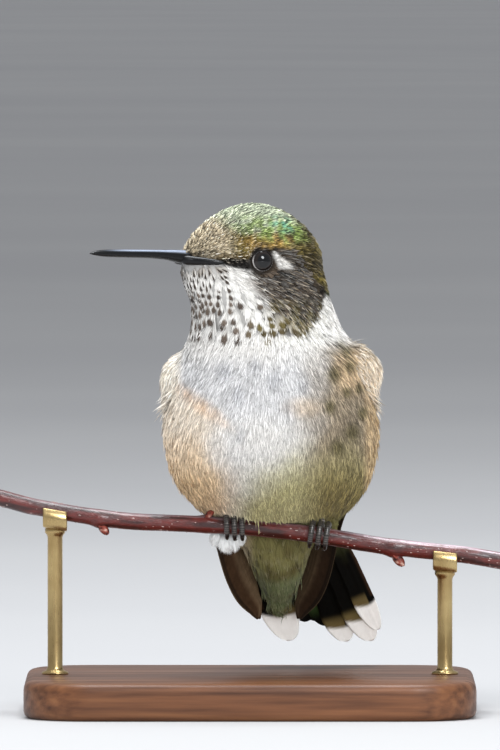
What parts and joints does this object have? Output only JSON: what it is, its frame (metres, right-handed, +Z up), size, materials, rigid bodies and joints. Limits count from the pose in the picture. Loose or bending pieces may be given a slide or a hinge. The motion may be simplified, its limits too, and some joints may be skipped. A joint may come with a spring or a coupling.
{
  "type": "hummingbird",
  "caption": "Fluffed perched hummingbird with its head turned aside, gripping a short red twig held by rods above a flat wooden base.",
  "frame": {"origin": "middle of the underside of the display base", "axes": "+X along the twig towards the bird's left, -Y the way the breast faces, +Z up"},
  "size_m": [0.0762, 0.048, 0.068],
  "materials": {
    "crown_feathers": "small scaly feathers, olive and green with a bronze gloss and pale edges",
    "throat_feathers": "short white feathers with rows of dusky teardrop flecks",
    "breast_feathers": "soft hair-like body feathers, white to warm buff",
    "back_feathers": "glossy green feathers with thin buff edges",
    "undertail_feathers": "grey-olive feathers with wide pale edges",
    "bill_horn": "black horn with a soft cool sheen",
    "eye_gloss": "wet near-black eye",
    "flight_feathers": "dusky brown vanes with darker shafts",
    "tail_feathers": "green-black vanes, the outer ones tipped white",
    "down": "loose white down",
    "foot_skin": "dark scaled skin",
    "claw_horn": "dark polished horn",
    "twig_bark": "smooth red-brown bark with small pale specks",
    "twig_bud": "rough red-brown bud scales",
    "stand_wood": "dark oiled hardwood with a satin finish",
    "stand_brass": "brushed brass"
  },
  "bodies": {
    "root": {"head": "crown_feathers", "neck": "throat_feathers", "breast": "breast_feathers", "back": "back_feathers", "belly": "breast_feathers", "rump": "back_feathers", "undertail_coverts": "undertail_feathers", "bill_upper": "bill_horn", "bill_lower": "bill_horn", "eye_right": "eye_gloss", "eye_left": "eye_gloss", "wing_right_shoulder": "back_feathers", "wing_right_coverts": "back_feathers", "wing_right_secondaries": "flight_feathers", "wing_right_primaries": "flight_feathers", "wing_left_shoulder": "back_feathers", "wing_left_coverts": "back_feathers", "wing_left_secondaries": "flight_feathers", "wing_left_primaries": "flight_feathers", "thigh_right": "down", "thigh_left": "down", "tarsus_right": "foot_skin", "tarsus_left": "foot_skin", "toe_right_1": "foot_skin", "toe_right_2": "foot_skin", "toe_right_3": "foot_skin", "toe_right_4": "foot_skin", "toe_left_1": "foot_skin", "toe_left_2": "foot_skin", "toe_left_3": "foot_skin", "toe_left_4": "foot_skin", "claw_right_1": "claw_horn", "claw_right_2": "claw_horn", "claw_right_3": "claw_horn", "claw_right_4": "claw_horn", "claw_left_1": "claw_horn", "claw_left_2": "claw_horn", "claw_left_3": "claw_horn", "claw_left_4": "claw_horn", "tail_left_1": "tail_feathers", "tail_left_2": "tail_feathers", "tail_left_3": "tail_feathers", "tail_left_4": "tail_feathers", "tail_left_5": "tail_feathers", "tail_right_1": "tail_feathers", "tail_right_2": "tail_feathers", "tail_right_3": "tail_feathers", "tail_right_4": "tail_feathers", "tail_right_5": "tail_feathers", "perch_twig": "twig_bark", "twig_bud_1": "twig_bud", "twig_bud_2": "twig_bud", "twig_bud_3": "twig_bud", "stand_base": "stand_wood", "stand_rod_right": "stand_brass", "stand_rod_left": "stand_brass", "stand_saddle_right": "stand_brass", "stand_saddle_left": "stand_brass"}
  },
  "joints": []
}
